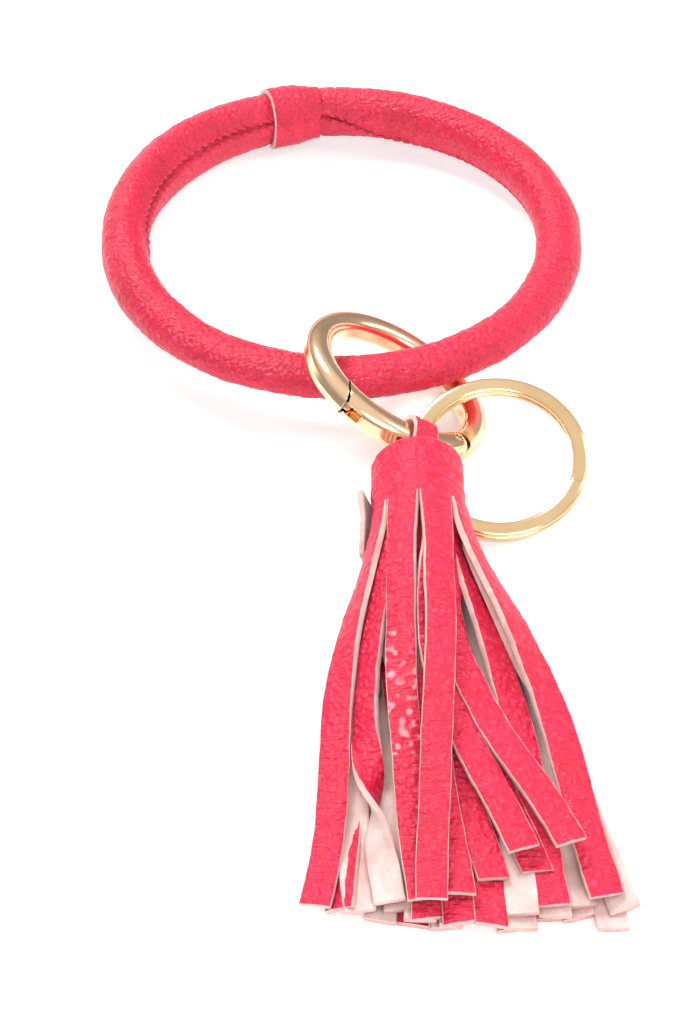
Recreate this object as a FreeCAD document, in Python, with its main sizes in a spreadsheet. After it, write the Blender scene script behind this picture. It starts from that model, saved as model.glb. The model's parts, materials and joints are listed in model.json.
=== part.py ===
import FreeCAD, Part
import Sketcher

import math
import os

# Wristlet keychain: a leather-covered bangle, a spring-gate ring clipped round it, a split key
# ring and a leather tassel.  Row frame: origin at the bangle's centre, +Z up, +Y to the bangle's
# back, the tassel pointing to -Y.  The resting pose is the one it takes when laid on a table.

V = FreeCAD.Vector
DOC = FreeCAD.newDocument("wristlet_keychain")

# ---------------------------------------------------------------------------------------------
# driving dimensions, millimetres and degrees
# ---------------------------------------------------------------------------------------------
DIMENSIONS = [
    # the bangle
    ("bangle_radius", 43.0, "centre line of the covered tube"),
    ("bangle_half_width", 4.5, "radial half width of the cover, the same all round"),
    ("bangle_drop", 8.26, "height of the bangle's centre above the table"),
    ("bangle_tilt", -1.64, "the front rides up on the clasp"),
    ("cover_mean_half_height", 4.45, "mean half height of the cover's oval section"),
    ("cover_back_swell", 0.9, "extra half height towards the back"),
    ("cover_back_angle", 100.0, "polar angle of that swell"),
    ("cover_lap_swell", 2.0, "extra half height where the cover's lap stands open"),
    ("cover_lap_angle", 160.0, "polar angle of the open lap"),
    ("cover_wall", 0.9, "leather thickness"),
    ("core_radius", 2.55, "outer radius of the rubber core tube"),
    ("core_bore", 1.25, "inner radius of the core tube"),
    ("core_gap", 1.5, "degrees left open between the core's two ends"),
    ("plug_radius", 1.2, "radius of the plug that joins the core's ends"),
    ("plug_arc", 24.0, "degrees of arc the plug covers"),
    ("join_angle", 104.0, "polar angle of the join wrap's middle"),
    ("wrap_arc", 15.0, "degrees of arc the join wrap covers"),
    ("wrap_wall", 0.75, "thickness of the join wrap"),
    ("cover_clearance", 0.03, "gap from the cover to the join wrap and to the stitches"),
    ("stitch_radius", 0.3, "thread radius"),
    ("stitch_length", 2.6, "visible length of one stitch"),
    ("stitch_count", 60.0, "stitches round the inner seam"),
    ("stitch_chamfer", 0.12, "chamfer on a stitch's ends"),
    ("stitch_stand_off", 3.0, "degrees kept clear of stitches on each side of the wrap"),
    # the spring-gate ring
    ("clasp_radius", 16.25, "centre line of the ring"),
    ("clasp_width", 4.7, "radial width of its section"),
    ("clasp_height", 4.7, "axial height of its section"),
    ("clasp_corner", 1.75, "corner radius of its section"),
    ("gate_width", 5.0, "radial width of the gate"),
    ("gate_height", 5.0, "axial height of the gate"),
    ("gate_corner", 1.9, "corner radius of the gate's section"),
    ("hinge_angle", 308.0, "polar angle of the hinge pin on the ring"),
    ("latch_angle", 222.0, "polar angle of the latch on the ring"),
    ("latch_overrun", 10.0, "degrees the raw ends run past the latch before trimming"),
    ("latch_gap", 0.3, "gap between the gate's free end and the body"),
    ("nose_width", 2.3, "radial width of the latch nose"),
    ("nose_height", 1.6, "axial height of the latch nose"),
    ("nose_offset", 0.9, "how far the nose's middle stands outside the ring's centre line"),
    ("nose_angle", 224.0, "polar angle of the nose's middle"),
    ("nose_arc", 15.0, "degrees of arc the nose covers"),
    ("nose_room", 0.3, "room round the nose in its slot"),
    ("slot_arc", 36.0, "degrees of arc of the slot in the gate"),
    ("tongue_height", 1.9, "axial height of the body's hinge tongue"),
    ("tongue_radius", 2.25, "radius of the tongue's round end"),
    ("hinge_room", 0.1, "running room on each side of the tongue"),
    ("shoulder_room", 0.25, "room between the gate's round end and the body's shoulder"),
    ("pin_radius", 0.75, "hinge rivet"),
    ("pin_room", 0.05, "radial running room round the rivet"),
    ("pin_chamfer", 0.2, "chamfer on the rivet's ends"),
    ("spring_wire", 0.2, "radius of the gate spring's wire"),
    ("spring_coil", 1.2, "mean radius of the gate spring's coil"),
    ("spring_pitch", 0.5, "pitch of the coil"),
    ("spring_turns", 2.0, "turns in the coil"),
    ("spring_pocket", 1.6, "radius of the pocket the coil lies in"),
    ("spring_floor", 0.4, "tongue left under the pocket"),
    ("spring_clearance", 0.05, "gap from the coil to the pocket's floor"),
    # the split ring
    ("key_ring_radius", 16.0, "outer radius"),
    ("key_band_width", 2.75, "radial width of the flat band"),
    ("key_band_height", 1.33, "height of one turn"),
    ("key_turn_step", 1.4, "height from one turn to the next"),
    ("key_ramp", 40.0, "degrees over which the band climbs one turn"),
    ("key_end_gap", 1.0, "degrees from each end of the band to the ramp"),
    # the tassel
    ("strap_width", 4.5, "width of the hanging strap"),
    ("leather", 1.0, "leather thickness in the tassel"),
    ("strap_bend", 3.95, "centre-line radius of the strap round the gate"),
    ("strap_slack", 0.15, "how far the strap's bend sits above the gate's centre line"),
    ("strap_angle", 276.0, "polar angle on the clasp where the strap hangs"),
    ("strap_tail_end", 13.0, "from the gate's centre line to the end of the strap's tails"),
    ("strap_lead", 0.9, "straight stretch of the tails before they enter the header"),
    ("strap_tail_gap", 0.1, "gap between the two tails"),
    ("header_radius", 7.85, "outer radius of the rolled header"),
    ("header_hole", 2.6, "radius left for the strap's tails in the roll"),
    ("header_length", 14.2, "length of the uncut header"),
    ("header_gap", 6.75, "from the gate's centre line to the header"),
    ("roll_pitch", 1.08, "thickness of one rolled turn with its gap"),
    ("roll_start", 239.0, "polar angle of the sheet's outer end round the header"),
    ("strip_pitch", 4.7, "distance from one slit to the next along the sheet"),
    ("strip_width", 4.5, "width of one fringe strip"),
    ("strip_leather", 0.72, "strip thickness, under the leather's so that stacked strips stay clear"),
    ("strip_gap", 0.25, "gap between the header and the strips' roots"),
    ("fringe_length", 67.5, "length of the cut strips"),
    ("fringe_half_width", 24.0, "half width of the fan at the strips' tips"),
    ("fringe_half_height", 6.0, "half height of the fan at the strips' tips"),
    ("fringe_drift", 5.4, "sideways drift of the fan's middle at the tips"),
    ("fringe_sag", 6.9, "fall of the fan's middle at the tips"),
    ("fringe_spread_power", 0.62, "below 1, the fan widens soonest near the header"),
    ("fringe_fall_power", 1.8, "above 1, the strips fall soonest near the header"),
    ("loose_stand_off", 1.1, "how far the sheet's peeled end stands off the header"),
    ("loose_lean", 14.0, "degrees the peeled end leans out from upright"),
    ("loose_drop", 3.0, "height of the header's axis above the peeled end's middle"),
    ("loose_extra_fall", 0.9, "how much further than the fan the peeled end falls"),
    ("flap_length", 8.0, "length of the peeled end beside the header"),
]

# resting places of the two metal rings, and of the header's middle, above the table
CLASP_CENTRE = V(9.76, -46.61, 10.93)
CLASP_NORMAL = V(0.496, 0.172, 0.851)
KEY_RING_CENTRE = V(27.75, -59.64, 5.54)
KEY_RING_NORMAL = V(-0.015, -0.263, 0.965)
HEADER_X = 13.1
HEADER_HEIGHT = 13.6

# how finely the free-form surfaces are drawn
SECTION_POINTS = 16        # round the bangle cover's oval
COVER_STATIONS = 24        # round the whole bangle
SLEEVE_STATIONS = 6        # along the join wrap
COIL_STATIONS = 18         # in one turn of the spring
COIL_CORNERS = 8           # round the spring's wire
KEY_STATIONS = 58          # along the split ring's band
BEND_STATIONS = 18         # round the strap's bend
ROLL_STEP = 15.0           # degrees from one point to the next along the rolled sheet
STRIP_SHARES = (0, 0.08, 0.2, 0.4, 0.6, 0.8, 1)

SHEET = DOC.addObject("Spreadsheet::Sheet", "Dims")


def fill_sheet():
    for row, (alias, value, note) in enumerate(DIMENSIONS, start=1):
        SHEET.set("A%d" % row, alias)
        SHEET.set("B%d" % row, str(value))
        SHEET.setAlias("B%d" % row, alias)
        SHEET.set("C%d" % row, note)
    DOC.recompute()


def dim(alias):
    return float(SHEET.get(alias))


def bind(obj, **expressions):
    for prop, expression in expressions.items():
        obj.setExpression(prop, expression)


def add(kind, name, **expressions):
    obj = DOC.addObject(kind, name)
    obj.Label = name
    bind(obj, **expressions)
    return obj


def cut(name, base, tool):
    obj = add("Part::Cut", name)
    obj.Base = base
    obj.Tool = tool
    return obj


def fuse(name, *shapes):
    obj = add("Part::MultiFuse", name)
    obj.Shapes = list(shapes)
    return obj


def common(name, *shapes):
    obj = add("Part::MultiCommon", name)
    obj.Shapes = list(shapes)
    return obj


def shaped(name, shape, placement=None):
    """A free-form sub-part: its Shape first, then its Placement."""
    obj = DOC.addObject("Part::Feature", name)
    obj.Label = name
    obj.Shape = shape
    obj.Placement = placement or FreeCAD.Placement()
    return obj


def group_of_solids(name, solids, placement=None):
    return shaped(name, Part.makeCompound(solids), placement)


def polar(radius, degrees, height=0.0):
    angle = math.radians(degrees)
    return V(radius * math.cos(angle), radius * math.sin(angle), height)


def frame_placement(centre, normal):
    """Local Z along normal, local X in the normal and row X plane, seated above the table."""
    z = V(normal).normalize()
    x = V(0, 1, 0).cross(z).normalize()
    y = z.cross(x)
    matrix = FreeCAD.Matrix(x.x, y.x, z.x, 0, x.y, y.y, z.y, 0, x.z, y.z, z.z, 0, 0, 0, 0, 1)
    seat = centre - V(0, 0, dim("bangle_drop"))
    return FreeCAD.Placement(seat, FreeCAD.Rotation(matrix))


def turned(placement, degrees):
    """The same placement with its local X turned about its local Z."""
    return placement.multiply(FreeCAD.Placement(V(), FreeCAD.Rotation(V(0, 0, 1), degrees)))


# ---------------------------------------------------------------------------------------------
# sections swept round a ring's axis
# ---------------------------------------------------------------------------------------------
def origin_plane(body, role):
    return [o for o in body.Origin.OriginFeatures if o.Role == role][0]


def rounded_sketch(body, name, middle, width, height, corner):
    """A rounded rectangle on the body's XZ plane, its middle on the local X axis.

    middle, width, height and corner are expressions; the drawn sizes are only a first guess.
    """
    sketch = body.newObject("Sketcher::SketchObject", name)
    sketch.AttachmentSupport = [(origin_plane(body, "XZ_Plane"), "")]
    sketch.MapMode = "FlatFace"
    mid, half, r = 16.0, 2.4, 1.0
    ends = [
        (V(mid - half + r, -half), V(mid + half - r, -half)),
        (V(mid + half, -half + r), V(mid + half, half - r)),
        (V(mid + half - r, half), V(mid - half + r, half)),
        (V(mid - half, half - r), V(mid - half, -half + r)),
    ]
    corners = [(1, -1), (1, 1), (-1, 1), (-1, -1)]
    for start, end in ends:
        sketch.addGeometry(Part.LineSegment(start, end), False)
    for quarter, (side, level) in enumerate(corners):
        centre = V(mid + side * (half - r), level * (half - r))
        first = math.pi / 2 * (quarter - 1)
        circle = Part.Circle(centre, V(0, 0, 1), r)
        sketch.addGeometry(Part.ArcOfCircle(circle, first, first + math.pi / 2), False)
    rule = Sketcher.Constraint
    for side in range(4):
        arc = 4 + side
        sketch.addConstraint(rule("Tangent", side, 2, arc, 1))
        sketch.addConstraint(rule("Tangent", arc, 2, (side + 1) % 4, 1))
    for side, word in enumerate(["Horizontal", "Vertical", "Horizontal", "Vertical"]):
        sketch.addConstraint(rule(word, side))
    for arc in (5, 6, 7):
        sketch.addConstraint(rule("Equal", 4, arc))
    sized = [
        (rule("Radius", 4, r), corner),
        (rule("DistanceX", 3, 1, 1, 1, 2 * half), width),
        (rule("DistanceY", 0, 1, 2, 1, 2 * half), height),
        (rule("DistanceX", -1, 1, 3, 1, mid - half), "%s - (%s) / 2" % (middle, width)),
        (rule("DistanceY", 0, 1, -1, 1, half), "(%s) / 2" % height),
    ]
    for constraint, expression in sized:
        index = sketch.addConstraint(constraint)
        sketch.setExpression("Constraints[%d]" % index, expression)
    return sketch


def ring_arc(name, middle, width, height, corner, arc):
    """A rounded bar bent round local Z, its middle on local X, arc degrees long."""
    body = add("PartDesign::Body", name)
    sketch = rounded_sketch(body, name + "_section", middle, width, height, corner)
    turn = body.newObject("PartDesign::Revolution", name + "_turn")
    turn.Profile = sketch
    turn.ReferenceAxis = (sketch, ["V_Axis"])
    turn.Midplane = True
    bind(turn, Angle=arc)
    body.Tip = turn
    return body


def pin_centre():
    return polar(dim("clasp_radius"), dim("hinge_angle"))


def hinge_disc(name, radius, height, level="0"):
    """A cylinder about the hinge pin's axis, its middle at the given height on the ring's plane."""
    rod = add("Part::Cylinder", name, Radius=radius, Height=height)
    rod.Placement.Base = pin_centre()
    rod.setExpression("Placement.Base.z", "%s - (%s) / 2" % (level, height))
    return rod


def turned_by(obj, degrees):
    obj.Placement = turned(FreeCAD.Placement(), degrees)
    return obj


# ---------------------------------------------------------------------------------------------
# the bangle
# ---------------------------------------------------------------------------------------------
def cover_half_height(degrees):
    swell = math.cos(math.radians(degrees - dim("cover_back_angle")))
    lap = max(0.0, math.cos(math.radians(degrees - dim("cover_lap_angle")))) ** 4
    return (dim("cover_mean_half_height") + dim("cover_back_swell") * swell
            + dim("cover_lap_swell") * lap)


def cover_section(degrees, growth):
    """The cover's oval at one polar angle, grown (or shrunk) evenly by growth."""
    half_width = dim("bangle_half_width") + growth
    half_height = cover_half_height(degrees) + growth
    outward = polar(1, degrees)
    middle = outward * dim("bangle_radius")
    points = []
    for step in range(SECTION_POINTS):
        turn = 2 * math.pi * step / SECTION_POINTS
        up = V(0, 0, half_height * math.sin(turn))
        points.append(middle + outward * (half_width * math.cos(turn)) + up)
    curve = Part.BSplineCurve()
    curve.interpolate(points, PeriodicFlag=True)
    return Part.Wire(curve.toShape())


def cover_ring(growth):
    angles = [360 * step / COVER_STATIONS for step in range(COVER_STATIONS)]
    return Part.makeLoft([cover_section(angle, growth) for angle in angles], True, False, True)


def cover_sleeve(growth, first, last):
    step = (last - first) / SLEEVE_STATIONS
    angles = [first + step * number for number in range(SLEEVE_STATIONS + 1)]
    return Part.makeLoft([cover_section(angle, growth) for angle in angles], True, False)


def bangle_placement():
    return FreeCAD.Placement(V(), FreeCAD.Rotation(V(1, 0, 0), dim("bangle_tilt")))


def make_bangle_cover():
    tube = cover_ring(0).cut(cover_ring(-dim("cover_wall")))
    return shaped("bangle_cover", tube, bangle_placement())


def make_bangle_core():
    """A C-shaped rubber tube, its two ends meeting under the join wrap."""
    arc = "360 - Dims.core_gap"
    rods = []
    for suffix, radius in (("tube", "Dims.core_radius"), ("bore", "Dims.core_bore")):
        rod = add("Part::Torus", "core_" + suffix, Radius1="Dims.bangle_radius",
                  Radius2=radius, Angle3=arc)
        rods.append(turned_by(rod, dim("join_angle") + dim("core_gap") / 2))
    core = cut("bangle_core", *rods)
    core.Placement = bangle_placement()
    return core


def make_core_plug():
    plug = add("Part::Torus", "core_joint_plug", Radius1="Dims.bangle_radius",
               Radius2="Dims.plug_radius", Angle3="Dims.plug_arc")
    plug.Placement = turned(bangle_placement(), dim("join_angle") - dim("plug_arc") / 2)
    return plug


def make_join_wrap():
    """A short sleeve of the same leather, over the place where the cover's ends meet."""
    clearance = dim("cover_clearance")
    overrun = 2.0
    first = dim("join_angle") - dim("wrap_arc") / 2
    last = first + dim("wrap_arc")
    outer = cover_sleeve(clearance + dim("wrap_wall"), first, last)
    inner = cover_sleeve(clearance, first - overrun, last + overrun)
    return shaped("join_wrap", outer.cut(inner), bangle_placement())


def make_seam_thread():
    """Running stitches along the cover's inner seam, none where the join wrap covers it."""
    count = int(dim("stitch_count"))
    radius = dim("stitch_radius")
    length = dim("stitch_length")
    ring = dim("bangle_radius") - dim("bangle_half_width") - radius - dim("cover_clearance")
    wrap_reach = dim("wrap_arc") / 2 + dim("stitch_stand_off")
    stitches = []
    for number in range(count):
        angle = 360.0 * (number + 0.5) / count
        if abs(angle - dim("join_angle")) < wrap_reach:
            continue
        along = polar(1, angle + 90)
        start = polar(ring, angle) - along * (length / 2)
        rod = Part.makeCylinder(radius, length, start, along)
        rims = [edge for edge in rod.Edges if edge.isClosed()]
        stitches.append(rod.makeChamfer(dim("stitch_chamfer"), rims))
    return group_of_solids("seam_thread", stitches, bangle_placement())


# ---------------------------------------------------------------------------------------------
# the spring-gate ring, drawn in its own plane with polar angles from local X
# ---------------------------------------------------------------------------------------------
def latch_trimmer(name, side):
    """A disc about the hinge pin that ends half the latch gap short of or past the latch."""
    reach = "2 * Dims.clasp_radius * sin((Dims.hinge_angle - Dims.latch_angle) / 2 * 1 deg)"
    return hinge_disc(name, "%s %s Dims.latch_gap / 2" % (reach, side), "4 * Dims.clasp_height")


def make_clasp_body():
    arc = ring_arc("body_bar", "Dims.clasp_radius", "Dims.clasp_width", "Dims.clasp_height",
                   "Dims.clasp_corner", "360 - Dims.hinge_angle + Dims.latch_angle + Dims.latch_overrun")
    turned_by(arc, (dim("hinge_angle") - 360 + dim("latch_angle") + dim("latch_overrun")) / 2)

    # the latch end follows the gate's swing, and only the stretch by the latch is trimmed
    stretch = ring_arc("latch_stretch", "Dims.clasp_radius", "2 * Dims.clasp_width",
                       "2 * Dims.clasp_height", "Dims.clasp_corner", "5 * Dims.latch_overrun")
    turned_by(stretch, dim("latch_angle"))
    latch_waste = common("latch_waste", latch_trimmer("body_latch_disc", "+"), stretch)

    # shoulders above and below the tongue, concentric with the gate's round end
    level = "(Dims.tongue_height / 2 + Dims.clasp_height)"
    shoulder = "Dims.gate_width / 2 + Dims.shoulder_room"
    upper = hinge_disc("upper_shoulder", shoulder, "2 * Dims.clasp_height", level)
    lower = hinge_disc("lower_shoulder", shoulder, "2 * Dims.clasp_height", "-" + level)
    trimmed = cut("trimmed_bar", arc, fuse("body_waste", latch_waste, upper, lower))

    nose = ring_arc("latch_nose", "(Dims.clasp_radius + Dims.nose_offset)", "Dims.nose_width",
                    "Dims.nose_height", "Dims.nose_height / 5", "Dims.nose_arc")
    turned_by(nose, dim("nose_angle"))
    tongue = hinge_disc("hinge_tongue", "Dims.tongue_radius", "Dims.tongue_height")
    solid = fuse("body_solid", trimmed, nose, tongue)

    bore = hinge_disc("body_pin_hole", "Dims.pin_radius + Dims.pin_room", "2 * Dims.clasp_height")
    pocket = hinge_disc("spring_pocket", "Dims.spring_pocket", "2 * Dims.tongue_height",
                        "(Dims.spring_floor + Dims.tongue_height / 2)")
    return cut("clasp_body", solid, fuse("body_holes", bore, pocket))


def make_clasp_gate():
    arc = ring_arc("gate_bar", "Dims.clasp_radius", "Dims.gate_width", "Dims.gate_height",
                   "Dims.gate_corner", "Dims.hinge_angle - Dims.latch_angle + Dims.latch_overrun")
    turned_by(arc, (dim("hinge_angle") + dim("latch_angle") - dim("latch_overrun")) / 2)
    eye_disc = hinge_disc("gate_eye_disc", "Dims.gate_width / 2", "Dims.gate_height")
    DOC.recompute()
    eye = add("Part::Fillet", "gate_eye")
    eye.Base = eye_disc
    rims = [n for n, edge in enumerate(eye_disc.Shape.Edges, start=1)
            if isinstance(edge.Curve, Part.Circle)]
    corner = dim("gate_corner")
    eye.Edges = [(n, corner, corner) for n in rims]
    whole = fuse("gate_whole", arc, eye)
    trimmed = common("gate_trimmed", whole, latch_trimmer("gate_latch_disc", "-"))

    fork = hinge_disc("gate_fork_slot", "Dims.gate_width / 2 + Dims.hinge_room",
                      "Dims.tongue_height + 2 * Dims.hinge_room")
    bore = hinge_disc("gate_pin_hole", "Dims.pin_radius + Dims.pin_room", "2 * Dims.gate_height")
    reach = "(Dims.nose_width + 2 * Dims.nose_room + Dims.gate_width)"
    inner = "(Dims.clasp_radius + Dims.nose_offset - Dims.nose_width / 2 - Dims.nose_room)"
    slot = ring_arc("nose_slot", "(%s + %s / 2)" % (inner, reach), reach,
                    "(Dims.nose_height + Dims.nose_room)", "Dims.nose_height / 5", "Dims.slot_arc")
    turned_by(slot, dim("latch_angle"))
    return cut("clasp_gate", trimmed, fuse("gate_waste", fork, bore, slot))


def make_hinge_pin():
    body = add("PartDesign::Body", "gate_hinge_pin")
    sketch = body.newObject("Sketcher::SketchObject", "pin_section")
    sketch.AttachmentSupport = [(origin_plane(body, "XY_Plane"), "")]
    sketch.MapMode = "FlatFace"
    sketch.addGeometry(Part.Circle(V(), V(0, 0, 1), 1), False)
    sketch.addConstraint(Sketcher.Constraint("Coincident", 0, 3, -1, 1))
    sketch.addConstraint(Sketcher.Constraint("Radius", 0, 1))
    sketch.setExpression("Constraints[1]", "Dims.pin_radius")
    rod = body.newObject("PartDesign::Pad", "pin_rod")
    rod.Profile = sketch
    rod.Midplane = True
    bind(rod, Length="Dims.gate_height - Dims.pin_chamfer")
    DOC.recompute()
    ends = body.newObject("PartDesign::Chamfer", "pin_ends")
    ends.Base = (rod, ["Face%d" % n for n, face in enumerate(rod.Shape.Faces, start=1)
                       if isinstance(face.Surface, Part.Plane)])
    bind(ends, Size="Dims.pin_chamfer")
    body.Tip = ends
    return body


def make_gate_spring():
    """A small torsion coil round the hinge pin, in the tongue's pocket."""
    wire = dim("spring_wire")
    sections = []
    for step in range(int(COIL_STATIONS * dim("spring_turns")) + 1):
        angle = 360.0 * step / COIL_STATIONS
        outward = polar(1, angle)
        middle = polar(dim("spring_coil"), angle, dim("spring_pitch") * angle / 360)
        corners = []
        for corner in range(COIL_CORNERS + 1):
            turn = 2 * math.pi * corner / COIL_CORNERS
            up = V(0, 0, wire * math.sin(turn))
            corners.append(middle + outward * (wire * math.cos(turn)) + up)
        sections.append(Part.makePolygon(corners))
    return shaped("gate_spring", Part.makeLoft(sections, True, True))


def make_clasp():
    ring = frame_placement(CLASP_CENTRE, CLASP_NORMAL)
    at_pin = ring.multiply(FreeCAD.Placement(pin_centre(), FreeCAD.Rotation()))
    body = make_clasp_body()
    gate = make_clasp_gate()
    pin = make_hinge_pin()
    spring = make_gate_spring()
    body.Placement = ring
    gate.Placement = ring
    pin.Placement = at_pin
    coil_level = dim("spring_floor") - dim("tongue_height") / 2
    coil_level += dim("spring_wire") + dim("spring_clearance")
    spring.Placement = at_pin.multiply(FreeCAD.Placement(V(0, 0, coil_level), FreeCAD.Rotation()))
    return [body, gate, pin, spring]


# ---------------------------------------------------------------------------------------------
# the split ring
# ---------------------------------------------------------------------------------------------
def make_key_ring():
    """A flat band wound two turns, climbing one turn's height over a short ramp."""
    half_width = dim("key_band_width") / 2
    half_height = dim("key_band_height") / 2
    middle = dim("key_ring_radius") - half_width
    step = dim("key_turn_step")
    ramp = dim("key_ramp")
    first = ramp / 2 + dim("key_end_gap")
    last = 2 * 360 - first
    sections = []
    for number in range(KEY_STATIONS + 1):
        angle = first + (last - first) * number / KEY_STATIONS
        climb = (angle - (360 - ramp / 2)) / ramp
        climb = min(1.0, max(0.0, climb))
        level = step * (climb * climb * (3 - 2 * climb) - 0.5)
        corners = []
        for side, up in ((-1, -1), (1, -1), (1, 1), (-1, 1), (-1, -1)):
            corners.append(polar(middle + side * half_width, angle, level + up * half_height))
        sections.append(Part.makePolygon(corners))
    band = Part.makeLoft(sections, True, False)
    return shaped("key_ring", band, frame_placement(KEY_RING_CENTRE, KEY_RING_NORMAL))


# ---------------------------------------------------------------------------------------------
# the tassel
# ---------------------------------------------------------------------------------------------
def ribbon(stations, width, thickness):
    """A flat band through stations of (middle, across, normal), as one closed solid."""
    sections = []
    for middle, across, normal in stations:
        corners = []
        for side, face in ((-1, -1), (1, -1), (1, 1), (-1, 1), (-1, -1)):
            corners.append(middle + across * (side * width / 2) + normal * (face * thickness / 2))
        sections.append(Part.makePolygon(corners))
    return Part.makeLoft(sections, True, True)


def strap_seat():
    """Where the strap hangs: a point on the gate's centre line, in the row frame."""
    ring = frame_placement(CLASP_CENTRE, CLASP_NORMAL)
    return ring.multVec(polar(dim("clasp_radius"), dim("strap_angle")))


def header_seat():
    """The middle of the header's top face: local X to the right, Y up, Z along the tassel."""
    start = V(HEADER_X, strap_seat().y - dim("header_gap"), HEADER_HEIGHT - dim("bangle_drop"))
    return FreeCAD.Placement(start, FreeCAD.Rotation(V(1, 0, 0), 90))


def make_tassel_loop():
    """The hanging strap: a hairpin round the gate with both tails caught in the header."""
    seat = strap_seat()
    along = V(0, -1, 0)
    ring = frame_placement(CLASP_CENTRE, CLASP_NORMAL)
    across = ring.Rotation.multVec(polar(1, dim("strap_angle") + 90))
    across = (across - along * across.dot(along)).normalize()
    up = across.cross(along).normalize()
    header = header_seat().Base
    seat = seat + up * dim("strap_slack")
    rise = (header - seat).dot(up)
    bend = dim("strap_bend")
    apart = (dim("leather") + dim("strap_tail_gap")) / 2
    tail_start = dim("header_gap") - dim("strap_lead")
    profile = []

    def tangent_angle(level):
        reach = math.hypot(tail_start, level)
        return math.atan2(level, tail_start), math.acos(bend / reach)

    toward, spread = tangent_angle(rise + apart)
    top = toward + spread
    toward, spread = tangent_angle(rise - apart)
    bottom = toward - spread + 2 * math.pi
    end = dim("strap_tail_end")
    tail_middle = (tail_start + end) / 2
    for reach in (end, tail_middle, tail_start):
        profile.append(((reach, rise + apart), (0.0, 1.0)))
    for step in range(BEND_STATIONS + 1):
        angle = top + (bottom - top) * step / BEND_STATIONS
        spot = (bend * math.cos(angle), bend * math.sin(angle))
        profile.append((spot, (math.cos(angle), math.sin(angle))))
    for reach in (tail_start, tail_middle, end):
        profile.append(((reach, rise - apart), (0.0, -1.0)))
    stations = []
    for (reach, level), (out_along, out_up) in profile:
        middle = seat + along * reach + up * level
        stations.append((middle, across, along * out_along + up * out_up))
    return shaped("tassel_loop", ribbon(stations, dim("strap_width"), dim("leather")))


def roll_radius(turned_degrees):
    """The rolled sheet's middle radius after so many degrees inward from its outer end."""
    return dim("header_radius") - dim("leather") / 2 - dim("roll_pitch") * turned_degrees / 360


def roll_end():
    """Degrees from the sheet's outer end to its inner end."""
    span = dim("header_radius") - dim("header_hole") - dim("leather")
    return 360 * span / dim("roll_pitch")


def spiral_edge(offset):
    count = int(roll_end() / ROLL_STEP)
    points = []
    for number in range(count + 1):
        turned_degrees = roll_end() * number / count
        radius = roll_radius(turned_degrees) + offset
        points.append(polar(radius, dim("roll_start") - turned_degrees))
    curve = Part.BSplineCurve()
    curve.interpolate(points)
    return curve.toShape(), points


def make_tassel_header():
    """The uncut top of the fringe sheet, rolled up round the strap's tails."""
    half = dim("leather") / 2
    outer, outer_points = spiral_edge(half)
    inner, inner_points = spiral_edge(-half)
    ends = [Part.makeLine(outer_points[n], inner_points[n]) for n in (0, -1)]
    outline = Part.Wire(Part.sortEdges([outer, inner] + ends)[0])
    roll = Part.Face(outline).extrude(V(0, 0, dim("header_length")))
    return shaped("tassel_header", roll, header_seat())


def fan(share):
    """The fan's half width, half height, drift and fall at a share of the strips' length."""
    root = dim("header_radius") - dim("leather") / 2
    half_width = root + (dim("fringe_half_width") - root) * share ** dim("fringe_spread_power")
    half_height = root + (dim("fringe_half_height") - root) * share
    drift = dim("fringe_drift") * share
    fall = dim("fringe_sag") * (1 - (1 - share) ** dim("fringe_fall_power"))
    return half_width / root, half_height / root, drift, fall


def strip_section(share, degrees, radius, depth):
    """A strip's curved section: it follows the fan's oval, at its own depth in the roll."""
    wide, tall, drift, fall = fan(share)
    angle = math.radians(degrees)
    speed = radius * math.hypot(wide * math.sin(angle), tall * math.cos(angle))
    outer = []
    inner = []
    for step in (-1, -0.5, 0, 0.5, 1):
        turn = angle + step * dim("strip_width") / 2 / speed
        spot = V(drift + radius * wide * math.cos(turn),
                 radius * tall * math.sin(turn) - fall, depth)
        normal = V(math.cos(turn) / wide, math.sin(turn) / tall, 0).normalize()
        half = normal * (dim("strip_leather") / 2)
        outer.append(spot + half)
        inner.insert(0, spot - half)
    return Part.makePolygon(outer + inner + [outer[0]])


def fringe_strip(degrees, radius):
    root = dim("header_length") + dim("strip_gap")
    sections = []
    for share in STRIP_SHARES:
        depth = root + share * dim("fringe_length")
        sections.append(strip_section(share, degrees, radius, depth))
    return Part.makeLoft(sections, True, True)


def make_fringe():
    """The cut strips, one group for each side of the fan and one for its middle and underside."""
    groups = {"fringe_top_strips": [], "fringe_left_strips": [],
              "fringe_right_strips": [], "fringe_core_strips": []}
    turned_degrees = math.degrees(dim("strip_pitch") / 2 / roll_radius(0))
    while turned_degrees < roll_end():
        radius = roll_radius(turned_degrees)
        degrees = (dim("roll_start") - turned_degrees) % 360
        name = "fringe_core_strips"
        if turned_degrees < 360:
            if 45 <= degrees < 135:
                name = "fringe_top_strips"
            elif 135 <= degrees < 225:
                name = "fringe_left_strips"
            elif degrees < 45 or degrees >= 315:
                name = "fringe_right_strips"
        groups[name].append(fringe_strip(degrees, radius))
        turned_degrees += math.degrees(dim("strip_pitch") / radius)
    return [group_of_solids(name, strips, header_seat()) for name, strips in groups.items()]


def loose_band(name, shares):
    """A stretch of the sheet's outer end, standing on edge beside the header and the fan."""
    lean = math.radians(dim("loose_lean"))
    across = V(-math.sin(lean), math.cos(lean), 0)
    normal = V(math.cos(lean), math.sin(lean), 0)
    root = dim("header_radius") + dim("loose_stand_off")
    stations = []
    for share in shares:
        depth = dim("header_length") + dim("strip_gap") + share * dim("fringe_length")
        wide, tall, drift, fall = fan(max(0.0, share))
        level = -dim("loose_drop") - fall - dim("loose_extra_fall") * max(0.0, share)
        stations.append((V(drift - root * wide, level, depth), across, normal))
    return shaped(name, ribbon(stations, dim("strip_width"), dim("leather")), header_seat())


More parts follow.
